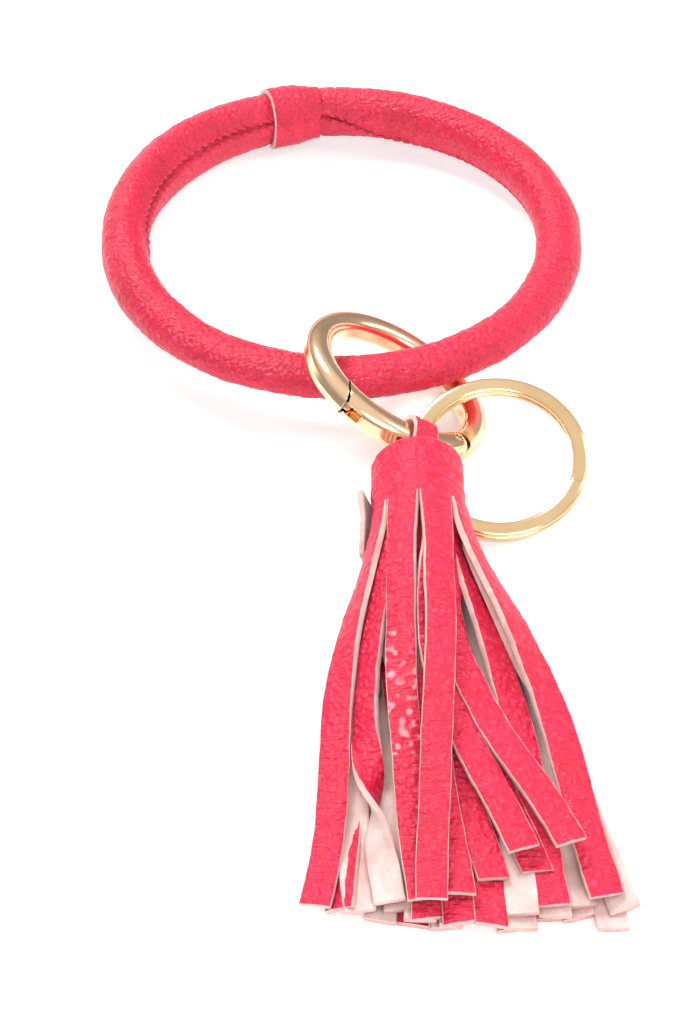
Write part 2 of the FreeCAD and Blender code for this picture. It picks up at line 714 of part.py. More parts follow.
def make_loose_end():
    """The sheet's outer end, peeled off the header so that its suede back shows."""
    start = -dim("flap_length") / dim("fringe_length")
    end = -2 * dim("strip_gap") / dim("fringe_length")
    flap = loose_band("sheet_end_flap", (start, (start + end) / 2, end))
    strip = loose_band("loose_end_strip", STRIP_SHARES)
    return [flap, strip]


# ---------------------------------------------------------------------------------------------
# build, check and write
# ---------------------------------------------------------------------------------------------
def build():
    fill_sheet()
    parts = [make_bangle_cover(), make_bangle_core(), make_core_plug(), make_join_wrap(),
             make_seam_thread()]
    parts += make_clasp()
    parts.append(make_key_ring())
    parts += [make_tassel_loop(), make_tassel_header()]
    parts += make_fringe()
    parts += make_loose_end()
    DOC.recompute()
    return parts


def check(parts):
    for obj in DOC.Objects:
        if "Invalid" in obj.State or "Error" in obj.State:
            raise RuntimeError("%s did not build: %s" % (obj.Name, obj.State))
    for part in parts:
        if part.Shape.isNull() or not part.Shape.isValid() or not part.Shape.Solids:
            raise RuntimeError("%s has no valid solid" % part.Label)


def write(parts):
    os.makedirs("parts", exist_ok=True)
    for part in parts:
        part.Shape.exportStep("parts/%s.step" % part.Label)
        print("%-22s %3d solids %10.2f mm3" % (part.Label, len(part.Shape.Solids), part.Shape.Volume))


PARTS = build()
check(PARTS)
write(PARTS)
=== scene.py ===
import json
import math
import random

import bmesh
import bpy
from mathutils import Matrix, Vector, noise


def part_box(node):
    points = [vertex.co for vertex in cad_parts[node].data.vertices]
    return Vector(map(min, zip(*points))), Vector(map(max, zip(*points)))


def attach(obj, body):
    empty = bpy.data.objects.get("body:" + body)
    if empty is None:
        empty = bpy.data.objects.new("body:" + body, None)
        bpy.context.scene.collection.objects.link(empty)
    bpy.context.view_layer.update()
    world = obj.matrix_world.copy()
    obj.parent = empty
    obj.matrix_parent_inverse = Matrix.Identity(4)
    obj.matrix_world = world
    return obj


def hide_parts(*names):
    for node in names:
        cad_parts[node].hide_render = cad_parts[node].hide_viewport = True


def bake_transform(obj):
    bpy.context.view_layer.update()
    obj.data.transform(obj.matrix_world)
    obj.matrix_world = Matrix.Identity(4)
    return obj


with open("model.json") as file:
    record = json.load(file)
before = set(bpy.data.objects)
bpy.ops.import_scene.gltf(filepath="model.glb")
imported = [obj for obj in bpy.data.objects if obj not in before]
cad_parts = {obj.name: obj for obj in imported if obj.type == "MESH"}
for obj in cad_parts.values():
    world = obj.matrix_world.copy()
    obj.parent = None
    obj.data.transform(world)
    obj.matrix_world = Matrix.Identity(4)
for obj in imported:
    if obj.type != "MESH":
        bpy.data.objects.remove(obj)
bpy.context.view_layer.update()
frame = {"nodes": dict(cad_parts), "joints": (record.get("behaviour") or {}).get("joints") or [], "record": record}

MM = 0.001               # every length below is in millimetres until it becomes a vertex
NODES = frame["nodes"]
JOINTS = {joint["name"]: joint for joint in frame["joints"]}
MOUNTS = {mount["name"]: mount for mount in frame["record"]["mounts"]}


def in_mm(point):
    return Vector(point) / MM


def box_mm(node):
    low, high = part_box(node)
    return low / MM, high / MM


# ---------------------------------------------------------------------------------------------
# node materials
# ---------------------------------------------------------------------------------------------
def linear(red, green, blue):
    """An sRGB colour, 0 to 255, as linear RGBA."""
    channels = []
    for value in (red, green, blue):
        part = value / 255
        channels.append(part / 12.92 if part <= 0.04045 else ((part + 0.055) / 1.055) ** 2.4)
    return (*channels, 1.0)


BOUNCE_MUTING = 0.72                 # how far the light thrown off the leather is greyed
BOUNCE_GREY = (0.52, 0.50, 0.50, 1)
# painted shade: colour darkened where folds and gaps shut out the sky
PAINTED_SHADE_SAMPLES = 8
PAINTED_SHADE_OPEN, PAINTED_SHADE_SHUT = 0.74, 0.18    # open share where the painted shade starts, and where it is full
FINE_GRAIN = 2600                    # noise scale of fibres and pores, per metre


class Nodes:
    """A short way to write a material's node tree."""

    def __init__(self, name):
        self.material = bpy.data.materials.new(name)
        self.material.use_nodes = True
        self.tree = self.material.node_tree
        self.shader = self.tree.nodes["Principled BSDF"]
        self.place = self.tree.nodes.new("ShaderNodeTexCoord").outputs["Object"]

    def add(self, kind, **settings):
        node = self.tree.nodes.new("ShaderNode" + kind)
        for key, value in settings.items():
            setattr(node, key, value)
        return node

    def link(self, source, target):
        self.tree.links.new(source, target)

    def set(self, **values):
        for key, value in values.items():
            socket = self.shader.inputs[key.replace("_", " ")]
            if isinstance(value, bpy.types.NodeSocket):
                self.link(value, socket)
            else:
                socket.default_value = value

    def scaled_place(self, scale):
        mapping = self.add("Mapping")
        mapping.inputs["Scale"].default_value = scale
        self.link(self.place, mapping.inputs["Vector"])
        return mapping.outputs["Vector"]

    def noise(self, scale, detail=3.0, roughness=0.55, place=None):
        node = self.add("TexNoise")
        node.inputs["Scale"].default_value = scale
        node.inputs["Detail"].default_value = detail
        node.inputs["Roughness"].default_value = roughness
        self.link(place or self.place, node.inputs["Vector"])
        return node.outputs["Fac"]

    def cells(self, scale):
        """Distance from the middle of the nearest cell, smoothed where cells meet."""
        node = self.add("TexVoronoi", feature="SMOOTH_F1")
        node.inputs["Scale"].default_value = scale
        self.link(self.place, node.inputs["Vector"])
        return node.outputs["Distance"]

    def ramp(self, factor, *stops):
        node = self.add("ValToRGB")
        elements = node.color_ramp.elements
        while len(elements) < len(stops):
            elements.new(0.5)
        for element, (position, colour) in zip(elements, stops):
            element.position = position
            element.color = colour
        self.link(factor, node.inputs["Fac"])
        return node.outputs["Color"]

    def remap(self, factor, low, high, to_low, to_high):
        node = self.add("MapRange")
        for key, value in zip(("From Min", "From Max", "To Min", "To Max"),
                              (low, high, to_low, to_high)):
            node.inputs[key].default_value = value
        self.link(factor, node.inputs["Value"])
        return node.outputs["Result"]

    def math(self, operation, first, second):
        node = self.add("Math", operation=operation)
        for socket, value in zip(node.inputs, (first, second)):
            if isinstance(value, bpy.types.NodeSocket):
                self.link(value, socket)
            else:
                socket.default_value = value
        return node.outputs["Value"]

    def mix(self, factor, first, second):
        node = self.add("Mix", data_type="RGBA")
        values = {"Factor": factor, "A": first, "B": second}
        sockets = {"Factor": node.inputs[0], "A": node.inputs[6], "B": node.inputs[7]}
        for key, value in values.items():
            if isinstance(value, bpy.types.NodeSocket):
                self.link(value, sockets[key])
            else:
                sockets[key].default_value = value
        return node.outputs[2]

    def muted_bounce(self, colour):
        """The same colour, greyer in the light it throws on its surroundings."""
        diffuse = self.add("LightPath").outputs["Is Diffuse Ray"]
        return self.mix(self.math("MULTIPLY", diffuse, BOUNCE_MUTING), colour, BOUNCE_GREY)

    def painted_recess_shade(self, reach, most, colour, dark):
        """The colour with painted shade: darkened by up to most in folds and gaps narrower than reach."""
        open_sky = self.add("AmbientOcclusion", samples=PAINTED_SHADE_SAMPLES)
        open_sky.inputs["Distance"].default_value = reach * MM
        shade = self.remap(open_sky.outputs["AO"], PAINTED_SHADE_OPEN, PAINTED_SHADE_SHUT, 0.0, most)
        return self.mix(shade, colour, dark)

    def bump(self, height, distance, strength=1.0, normal=None):
        node = self.add("Bump")
        node.inputs["Strength"].default_value = strength
        node.inputs["Distance"].default_value = distance * MM
        self.link(height, node.inputs["Height"])
        if normal is not None:
            self.link(normal, node.inputs["Normal"])
        return node.outputs["Normal"]


def leather_grain(name, light, deep, pebble, relief, shine, painted_glints=0.0):
    """Pebbled leather: soft raised cells, cross creases, a broken sheen, painted shade and painted highlights.

    pebble is a cell's size and relief the bump's depth, in millimetres; shine is the middle
    roughness, and the last argument how pale some pebble tops are painted, as painted highlights.
    """
    nodes = Nodes(name)
    distance = nodes.cells(1 / (pebble * MM))
    cells = nodes.remap(distance, 0.08, 0.55, 1, 0)
    creases = nodes.noise(430, 4, 0.62, nodes.scaled_place((0.7, 2.9, 0.7)))
    fine = nodes.noise(FINE_GRAIN, 3)
    patch = nodes.noise(230, 3)
    hue = nodes.ramp(nodes.noise(70, 4), (0.18, deep), (0.60, light))
    hue = nodes.mix(nodes.remap(patch, 0.35, 0.7, 0.0, 0.35), hue, light)
    # painted shade: darker between the cells and in the creases, standing in for the bump's shading
    hue = nodes.mix(nodes.remap(cells, 0.0, 0.6, 0.40, 0.0), hue, deep)
    hue = nodes.mix(nodes.remap(creases, 0.50, 0.34, 0.0, 0.7), hue, deep)
    # painted highlight: faint pale specks on the fine grain
    hue = nodes.mix(nodes.remap(fine, 0.58, 0.80, 0.0, 0.10), hue, PAINTED_HIGHLIGHT)
    # painted highlight: pale glints on the tops of some pebbles
    if painted_glints:
        chosen = nodes.remap(nodes.noise(300, 1), 0.36, 0.46, 0.0, painted_glints)
        tops = nodes.remap(distance, 0.20, 0.34, 1.0, 0.0)
        painted_glint_mask = nodes.math("MULTIPLY", tops, chosen)
        hue = nodes.mix(painted_glint_mask, hue, PAINTED_HIGHLIGHT)
    # painted shade: dark red in folds and in the gaps between pieces
    hue = nodes.painted_recess_shade(2.2, 0.7, hue, linear(150, 0, 34))
    height = nodes.math("ADD", nodes.math("MULTIPLY", cells, 0.50),
                        nodes.math("MULTIPLY", creases, 1.5))
    height = nodes.math("ADD", height, nodes.math("MULTIPLY", fine, 0.20))
    height = nodes.math("ADD", height, nodes.math("MULTIPLY", patch, 0.6))
    nodes.set(Base_Color=nodes.muted_bounce(hue), Normal=nodes.bump(height, relief),
              Roughness=nodes.remap(nodes.noise(900, 2), 0.3, 0.7, shine - 0.08, shine + 0.12),
              Specular_IOR_Level=0.55, Sheen_Weight=0.06, Sheen_Roughness=0.5)
    nodes.shader.inputs["Sheen Tint"].default_value = light
    return nodes.material


def suede(name, light, deep):
    """The flesh side and the cut edges: short matted fibres, no shine."""
    nodes = Nodes(name)
    fibre = nodes.noise(FINE_GRAIN, 5, 0.7, nodes.scaled_place((1, 0.35, 1)))
    blotch = nodes.noise(160, 4)
    tone = nodes.ramp(blotch, (0.3, deep), (0.66, light))
    tone = nodes.mix(nodes.remap(fibre, 0.35, 0.65, 0.5, 0.0), tone, deep)
    # painted shade: dusky rose inside slits and folds
    tone = nodes.painted_recess_shade(1.8, 0.75, tone, linear(150, 70, 66))
    nodes.set(Base_Color=tone, Roughness=0.93, Specular_IOR_Level=0.15, Sheen_Weight=0.35,
              Sheen_Roughness=0.6, Normal=nodes.bump(fibre, 0.16))
    return nodes.material


def plated(name, light, deep, roughness):
    """Polished plating: faint casting waves, hairline scratches, paler edges and painted shade in its gaps."""
    nodes = Nodes(name)
    waves = nodes.noise(90, 1)
    scratches = nodes.noise(1200, 4, 0.7, nodes.scaled_place((1, 9, 2)))
    smears = nodes.noise(130, 2)
    # paler colour near edges, where the rounded bevel normal leaves the true one
    edge = nodes.add("Bevel")
    edge.inputs["Radius"].default_value = 0.3 * MM
    geometry = nodes.add("NewGeometry")
    dot = nodes.add("VectorMath", operation="DOT_PRODUCT")
    nodes.link(edge.outputs["Normal"], dot.inputs[0])
    nodes.link(geometry.outputs["Normal"], dot.inputs[1])
    edge_paling = nodes.remap(dot.outputs["Value"], 0.995, 0.93, 0.0, 0.5)
    tone = nodes.ramp(smears, (0.25, deep), (0.75, light))
    tone = nodes.mix(edge_paling, tone, light)
    # painted shade: dark brown in gaps, hollows and between the ring's turns
    tone = nodes.painted_recess_shade(0.9, 0.92, tone, linear(92, 44, 22))
    nodes.set(Base_Color=tone, Metallic=1.0,
              Roughness=nodes.remap(scratches, 0.3, 0.7, roughness, roughness + 0.06),
              Normal=nodes.bump(waves, 0.12, 0.35, edge.outputs["Normal"]))
    return nodes.material


def rubber(name):
    nodes = Nodes(name)
    grain = nodes.noise(2200, 3)
    tone = nodes.ramp(nodes.noise(90, 3), (0.3, linear(22, 22, 24)), (0.7, linear(48, 47, 48)))
    nodes.set(Base_Color=tone, Roughness=0.75, Normal=nodes.bump(grain, 0.05))
    return nodes.material


def spring_wire(name):
    nodes = Nodes(name)
    drawn = nodes.noise(4000, 2)
    tone = nodes.ramp(nodes.noise(700, 2), (0.3, linear(120, 122, 126)),
                      (0.7, linear(176, 178, 182)))
    nodes.set(Base_Color=tone, Metallic=1.0, Roughness=nodes.remap(drawn, 0.3, 0.7, 0.25, 0.42),
              Normal=nodes.bump(drawn, 0.02))
    return nodes.material


def waxed_thread(name, light, deep):
    """Twisted thread: a slanted wave for the plies."""
    nodes = Nodes(name)
    wave = nodes.add("TexWave", bands_direction="DIAGONAL")
    wave.inputs["Scale"].default_value = 900
    wave.inputs["Distortion"].default_value = 1.5
    nodes.link(nodes.place, wave.inputs["Vector"])
    tone = nodes.ramp(wave.outputs["Fac"], (0.2, deep), (0.8, light))
    nodes.set(Base_Color=tone, Roughness=0.5, Sheen_Weight=0.2,
              Normal=nodes.bump(wave.outputs["Fac"], 0.06))
    return nodes.material


PAINTED_HIGHLIGHT = linear(255, 196, 206)
PINK_LIGHT = linear(246, 20, 80)
PINK_DEEP = linear(214, 4, 48)
BAND_LIGHT = linear(226, 14, 68)
BAND_DEEP = linear(188, 2, 42)
CREAM_LIGHT = linear(246, 224, 218)
CREAM_DEEP = linear(214, 172, 164)

# the last number is how pale the pebble tops are painted, as painted highlights: a little on the tassel, strongly
# on the raised grain
TASSEL_GRAIN = leather_grain("tassel_grain", PINK_LIGHT, PINK_DEEP, 0.9, 0.50, 0.40, 0.05)
BANGLE_GRAIN = leather_grain("bangle_grain", BAND_LIGHT, BAND_DEEP, 0.75, 0.40, 0.42)
TASSEL_RAISED_PAINTED_GLINTS = leather_grain("tassel_grain_raised", PINK_LIGHT, PINK_DEEP, 1.5, 0.6, 0.30, 0.62)
SUEDE = suede("suede_back", CREAM_LIGHT, CREAM_DEEP)
CUT_EDGE = suede("cut_edge", linear(246, 212, 204), linear(220, 160, 152))
CLASP_GOLD = plated("clasp_gold", linear(255, 220, 182), linear(250, 206, 164), 0.12)
RING_GOLD = plated("ring_gold", linear(246, 216, 172), linear(238, 198, 146), 0.12)
CORE_RUBBER = rubber("core_rubber")
SPRING_STEEL = spring_wire("spring_steel")
THREAD = waxed_thread("thread", linear(226, 40, 80), linear(176, 12, 44))


# ---------------------------------------------------------------------------------------------
# meshes from lattices of points
# ---------------------------------------------------------------------------------------------
def new_piece(name, verts, faces, materials, slots=None, hollow=False):
    """A piece from points in millimetres. A hollow one brings its own face directions."""
    mesh = bpy.data.meshes.new(name)
    mesh.from_pydata([Vector(v) * MM for v in verts], [], faces)
    for material in materials:
        mesh.materials.append(material)
    if slots:
        mesh.polygons.foreach_set("material_index", slots)
    mesh.polygons.foreach_set("use_smooth", [True] * len(mesh.polygons))
    mesh.update()
    mesh.validate()
    if not hollow:
        shell = bmesh.new()
        shell.from_mesh(mesh)
        bmesh.ops.recalc_face_normals(shell, faces=shell.faces)
        shell.to_mesh(mesh)
        shell.free()
    piece = bpy.data.objects.new(name, mesh)
    bpy.context.scene.collection.objects.link(piece)
    return piece


def loop_faces(rings, across, start, closed):
    """Quads between neighbouring rings of the same number of points."""
    faces = []
    last = rings if closed else rings - 1
    for ring in range(last):
        this = start + ring * across
        following = start + ((ring + 1) % rings) * across
        for step in range(across):
            near = (step + 1) % across
            faces.append((this + step, this + near, following + near, following + step))
    return faces


def soften(piece, angle):
    """Smooth shading that keeps true edges."""
    piece.data.set_sharp_from_angle(angle=math.radians(angle))


def smooth(value, low=0.0, high=1.0):
    """0 below low, 1 above high, and a smooth step between them."""
    share = min(1.0, max(0.0, (value - low) / (high - low)))
    return share * share * (3 - 2 * share)


def hump(value, width):
    """1 at zero, falling away smoothly over the width."""
    return math.exp(-(value / width) ** 2)


def half_turn(angle):
    """The same angle, between -180 and 180 degrees."""
    return (angle + 180) % 360 - 180


def grain(point):
    """Height of the leather's pebbles and creases at a place on a tassel piece."""
    crease = noise.noise(Vector((point.x / 4.2, point.y / 1.0, point.z / 4.2)))
    pebble = noise.noise(point / 0.9 + Vector((7, 3, 1)))
    swell = noise.noise(point / 7.0)
    return 0.12 * crease + 0.11 * pebble + 0.14 * swell


# ---------------------------------------------------------------------------------------------
# the bangle: cover, join wrap and stitched inner seam
# ---------------------------------------------------------------------------------------------
TUBE_RADIUS = 43.0                   # the tube's centre line
TUBE_HALF_WIDTH = 4.5
COVER_WALL = 0.9
WRAP_MIDDLE, WRAP_HALF_ARC = 104.0, 7.5
WRAP_WALL, WRAP_SEAT = 0.75, 0.12
SEAM_HIGH, SEAM_LOW = 162.0, 232.0   # round the tube's section: inner side, underside
STITCH_PITCH, STITCH_REACH, STITCH_RADIUS = 2.2, 0.85, 0.31
STITCH_FLATTENED = 0.62
SEAM_GIRTH = 5.2                     # millimetres round the section to a radian
VALLEY_DEPTH, VALLEY_WIDTH = 0.62, 0.34
LAP_RISE = 0.45
WRAP_BITE = 0.25                     # how far the cover is drawn in at the wrap's ends
TRACK_DEPTH, TRACK_SPREAD = 0.42, 62  # where the clasp slides: millimetres, degrees
COVER_ROUND, COVER_ACROSS = 880, 84
LINING_ROUND, LINING_ACROSS = 180, 24
BANGLE_AXIS = Vector(MOUNTS["wrist_opening"]["axis"])
TILT = -math.asin(BANGLE_AXIS.y)


def tube_half_height(theta):
    back = math.cos(math.radians(theta - 100))
    lap = max(0.0, math.cos(math.radians(theta - 160))) ** 4
    return 4.45 + 0.9 * back + 2.0 * lap


def tube_point(theta, section, growth=0.0):
    """A point on the bangle's tube, grown outward evenly by growth."""
    across = math.cos(math.radians(section))
    up = math.sin(math.radians(section))
    half_height = tube_half_height(theta)
    lean = math.hypot(across / TUBE_HALF_WIDTH, up / half_height)
    radius = TUBE_RADIUS + TUBE_HALF_WIDTH * across + growth * across / TUBE_HALF_WIDTH / lean
    level = half_height * up + growth * up / half_height / lean
    x = radius * math.cos(math.radians(theta))
    y = radius * math.sin(math.radians(theta))
    return Vector((x, y * math.cos(TILT) - level * math.sin(TILT),
                   y * math.sin(TILT) + level * math.cos(TILT)))


def seam_section(theta):
    """Where the seam runs round the section: it twists up into sight at the back left."""
    risen = smooth(theta, 66, 98) * (1 - smooth(theta, 180, 204))
    return SEAM_LOW + (SEAM_HIGH - SEAM_LOW) * risen


def seam_share(theta):
    """How open the cover's lap is: widest at the bangle's left."""
    return max(0.0, math.cos(math.radians(theta - 150))) ** 2


def clasp_track(theta, section):
    """How much slimmer the underside is where the clasp slides along it, for clearance."""
    along = smooth(theta, 262, 275) * (1 - smooth(theta, 322, 336))
    return -TRACK_DEPTH * along * hump(half_turn(section - SEAM_LOW), TRACK_SPREAD)


def cover_height(theta, section):
    """Pebbles, cross creases, the puckered seam valley and the lap's edge."""
    length = math.radians(theta) * TUBE_RADIUS
    girth = math.radians(section) * 5.0
    place = tube_point(theta, section)
    front = max(0.0, -math.sin(math.radians(theta)))
    pebble = noise.noise(place / 0.9) * (0.07 + 0.10 * front)
    crease = noise.noise(Vector((length / 1.6, girth / 5.0, 3.7))) * 0.11
    swell = noise.noise(place / 8.0) * 0.16
    off = math.radians(half_turn(section - seam_section(theta))) * SEAM_GIRTH
    pucker = 0.5 + 0.5 * math.cos(2 * math.pi * length / STITCH_PITCH)
    valley = -VALLEY_DEPTH * hump(off, VALLEY_WIDTH)
    lips = (0.10 + 0.24 * pucker) * hump(abs(off) - 0.85, 0.42)
    gathers = 0.14 * (pucker - 0.5) * hump(off, 2.4)
    lap = LAP_RISE * seam_share(theta) * smooth(-off, -2.9, -2.6) * smooth(off, -0.2, 0.4)
    nearby = abs(theta - WRAP_MIDDLE)
    drawn = -WRAP_BITE * hump(nearby - WRAP_HALF_ARC, 1.5)
    creased = 0.16 * noise.noise(Vector((length / 0.9, girth / 3.0, 9.1)))
    creased *= hump(nearby - WRAP_HALF_ARC - 4, 5)
    relief = pebble + crease + swell + valley + lips + gathers + lap + drawn + creased
    return relief + clasp_track(theta, section)


def make_cover():
    verts = []
    for ring in range(COVER_ROUND):
        theta = 360 * ring / COVER_ROUND
        for step in range(COVER_ACROSS):
            off = 360 * step / COVER_ACROSS - 180
            section = seam_section(theta) + off - 26 * math.sin(math.radians(off))
            verts.append(tube_point(theta, section, cover_height(theta, section)))
    faces = [face[::-1] for face in loop_faces(COVER_ROUND, COVER_ACROSS, 0, True)]
    start = len(verts)
    for ring in range(LINING_ROUND):
        theta = 360 * ring / LINING_ROUND
        for step in range(LINING_ACROSS):
            verts.append(tube_point(theta, 360 * step / LINING_ACROSS, -COVER_WALL))
    faces += loop_faces(LINING_ROUND, LINING_ACROSS, start, True)
    cover = new_piece("cover_leather", verts, faces, [BANGLE_GRAIN], hollow=True)
    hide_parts("bangle_cover")
    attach(cover, "bangle")


def wrap_angle(share, section):
    """The angle round the bangle at a share of the wrap's width; its ends aren't cut straight."""
    theta = WRAP_MIDDLE - WRAP_HALF_ARC + 2 * WRAP_HALF_ARC * share
    return theta + 0.35 * math.sin(math.radians(2 * section + 40))


def make_wrap():
    """The sleeve over the cover's join, with rounded raw edges and cross wrinkles."""
    around, across = 64, 96
    wall = WRAP_WALL + 0.15
    verts, slots = [], []
    outline = [(0.0, 0.0), (0.004, 0.10)]
    outline += [(0.004 + 0.97 * step / around, 0.12 + 0.88 * smooth(step / around, 0.0, 0.55))
                for step in range(1, around)]
    rim = [(0.985, 1.0), (0.998, 0.88), (1.0, 0.6), (1.0, 0.0)]
    outline += rim
    for share, lift in outline:
        for step in range(across):
            section = 360 * step / across
            theta = wrap_angle(share, section)
            place = Vector((share * 11 / 1.1, section / 60, 2.0))
            ripple = noise.noise(place) * 0.16 + noise.noise(place * 2.7) * 0.07
            middle = hump(share - 0.5, 0.3)
            pebble = 0.05 * noise.noise(tube_point(theta, section) / 0.8)
            band = lift * (wall + ripple * middle + pebble)
            verts.append(tube_point(theta, section, WRAP_SEAT + band))
    for share, lift in ((1.0, 0.0), (0.0, 0.0)):
        for step in range(across):
            section = 360 * step / across
            verts.append(tube_point(wrap_angle(share, section), section, -WRAP_SEAT))
    rings = len(outline) + 2
    faces = [face[::-1] for face in loop_faces(rings, across, 0, True)]
    for ring in range(rings):
        slots += [1 if ring >= len(outline) - len(rim) else 0] * across
    wrap = new_piece("join_wrap_leather", verts, faces, [BANGLE_GRAIN, CUT_EDGE], slots)
    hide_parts("join_wrap")
    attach(wrap, "bangle")


def capsule(verts, faces, start, end, radius, flatten, up):
    """A closed, tapered stitch from start to end, flattened along up."""
    along = (end - start).normalized()
    side = along.cross(up).normalized()
    rise = side.cross(along)
    first = len(verts)
    sides, rings = 8, 7
    for ring in range(rings):
        share = (ring + 0.35) / (rings - 0.3)
        fat = radius * math.sin(math.pi * share) ** 0.55
        centre = start.lerp(end, share) + rise * (0.12 * math.sin(math.pi * share))
        for corner in range(sides):
            turn = 2 * math.pi * corner / sides
            verts.append(centre + side * (fat * math.cos(turn))
                         + rise * (fat * flatten * math.sin(turn)))
    faces += loop_faces(rings, sides, first, False)
    faces.append(tuple(first + corner for corner in reversed(range(sides))))
    last = first + (rings - 1) * sides
    faces.append(tuple(last + corner for corner in range(sides)))


def make_stitches():
    verts, faces = [], []
    count = int(2 * math.pi * TUBE_RADIUS / STITCH_PITCH)
    for number in range(count):
        theta = 360 * number / count + math.degrees(STITCH_PITCH / 2 / TUBE_RADIUS)
        if abs(theta - WRAP_MIDDLE) < WRAP_HALF_ARC + 1:
            continue
        for side in (-1, 1):
            section = seam_section(theta) + side * 6.5
            step = math.degrees(STITCH_REACH / TUBE_RADIUS)
            slant = side * 3.2
            seat = 0.08 + clasp_track(theta, section)
            start = tube_point(theta - step, section - slant, seat)
            end = tube_point(theta + step, section + slant, seat)
            outward = (tube_point(theta, section, 1) - tube_point(theta, section)).normalized()
            capsule(verts, faces, start, end, STITCH_RADIUS, STITCH_FLATTENED, outward)
    stitches = new_piece("seam_stitches", verts, faces, [THREAD])
    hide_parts("seam_thread")
    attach(stitches, "bangle")


# ---------------------------------------------------------------------------------------------
# the split ring
# ---------------------------------------------------------------------------------------------
def mount_frame(name):
    """Centre, local X, local Y and local Z of a ring, from its mount."""
    centre = in_mm(MOUNTS[name]["pos_m"])
    z = Vector(MOUNTS[name]["axis"]).normalized()
    x = Vector((0, 1, 0)).cross(z).normalized()
    return centre, x, z.cross(x), z


RING_HALF_WIDTH, RING_HALF_HEIGHT = 1.375, 0.64
RING_SQUARENESS = 2.7                # 2 is an ellipse, more is squarer
RING_CLIMB, RING_RAMP = 1.4, 40.0    # from turn to turn, and the degrees it takes
RING_CORNERS, RING_STATIONS = 24, 360
RING_END_TAPER = {0: 0.86, 1: 0.96}
RING_CREASE_ANGLE = 40


def make_split_ring():
    """Two flat turns of wire, one climbing over the other."""
    centre, x, y, z = mount_frame("key_ring_band")
    middle = MOUNTS["key_ring_band"]["dims"]["r_mm"] + RING_HALF_WIDTH
    first, last = RING_RAMP / 2 + 1, 720 - RING_RAMP / 2 - 1
    power = 2 / RING_SQUARENESS
    outline = []
    for corner in range(RING_CORNERS):
        turn = math.radians(360 * (corner + 0.5) / RING_CORNERS)
        across, up = math.cos(turn), math.sin(turn)
        outline.append((RING_HALF_WIDTH * math.copysign(abs(across) ** power, across),
                        RING_HALF_HEIGHT * math.copysign(abs(up) ** power, up)))
    verts = []
    for ring in range(RING_STATIONS + 1):
        angle = first + (last - first) * ring / RING_STATIONS
        climb = smooth((angle - (360 - RING_RAMP / 2)) / RING_RAMP)
        level = RING_CLIMB * (climb - 0.5)
        shrink = RING_END_TAPER.get(min(ring, RING_STATIONS - ring), 1.0)
        turn = math.radians(angle)
        outward = x * math.cos(turn) + y * math.sin(turn)
        for across, up in outline:
            verts.append(centre + outward * (middle + across * shrink)
                         + z * (level + up * shrink))
    faces = loop_faces(RING_STATIONS + 1, RING_CORNERS, 0, False)
    faces.append(tuple(reversed(range(RING_CORNERS))))
    faces.append(tuple(RING_STATIONS * RING_CORNERS + step for step in range(RING_CORNERS)))
    ring = new_piece("split_ring", verts, faces, [RING_GOLD])
    soften(ring, RING_CREASE_ANGLE)
    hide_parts("key_ring")
    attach(ring, "key_ring")


# ---------------------------------------------------------------------------------------------
# leather strips: one closed band with a grain side, a suede side and cut edges
# ---------------------------------------------------------------------------------------------
ACROSS = 9                           # points across each face
NICK = 0.10                          # the cut edges' small bevel
GRAIN, FLESH, EDGE, RAISED_PAINTED_GLINTS = range(4)    # the leather pieces' material slots
CREASE_ANGLE = 50                    # degrees; sharper edges stay sharp


def band_ring(middle, across, normal, width, thickness, bow, lift):
    """One cross-section of a band: its grain side, an edge, its suede side, the other edge."""
    half = width / 2
    points = []

    def put(u, v, raise_it):
        bent = -bow * u * u / 2
        spot = middle + across * u + normal * (v + bent)
        if raise_it:
            spot = spot + normal * lift(spot)
        points.append(spot)

    for step in range(ACROSS):
        u = (half - NICK) * (2 * step / (ACROSS - 1) - 1)
        put(u, thickness / 2, True)
    put(half, thickness / 2 - NICK, False)
    put(half, -thickness / 2 + NICK, False)
    for step in range(ACROSS):
        u = (half - NICK) * (1 - 2 * step / (ACROSS - 1))
        put(u, -thickness / 2, False)
    put(-half, -thickness / 2 + NICK, False)
    put(-half, thickness / 2 - NICK, False)
    return points


def band_slots():
    """The material slot of each face round a band."""
    edge = [EDGE] * 3
    return [GRAIN] * (ACROSS - 1) + edge + [FLESH] * (ACROSS - 1) + edge


def band_mesh(verts, faces, slots, sections, raised=()):
    """Adds a closed band through the given cross-sections."""
    start = len(verts)
    across = len(sections[0])
    for section in sections:
        verts.extend(section)
    faces += [face[::-1] for face in loop_faces(len(sections), across, start, False)]
    for ring in range(len(sections) - 1):
        row = band_slots()
        if ring in raised:
            row = [RAISED_PAINTED_GLINTS if slot == GRAIN else slot for slot in row]
        slots += row
    faces.append(tuple(start + step for step in range(across)))
    last = start + (len(sections) - 1) * across
    faces.append(tuple(last + step for step in reversed(range(across))))
    slots += [EDGE, EDGE]


LEATHER_SIDES = [TASSEL_GRAIN, SUEDE, CUT_EDGE]


def tassel_band(name, sections, node):
    """One band of the tassel's leather that stands for a CAD node."""
    verts, faces, slots = [], [], []
    band_mesh(verts, faces, slots, sections)
    piece = new_piece(name, verts, faces, LEATHER_SIDES, slots)
    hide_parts(node)
    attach(piece, "tassel")
    soften(piece, CREASE_ANGLE)


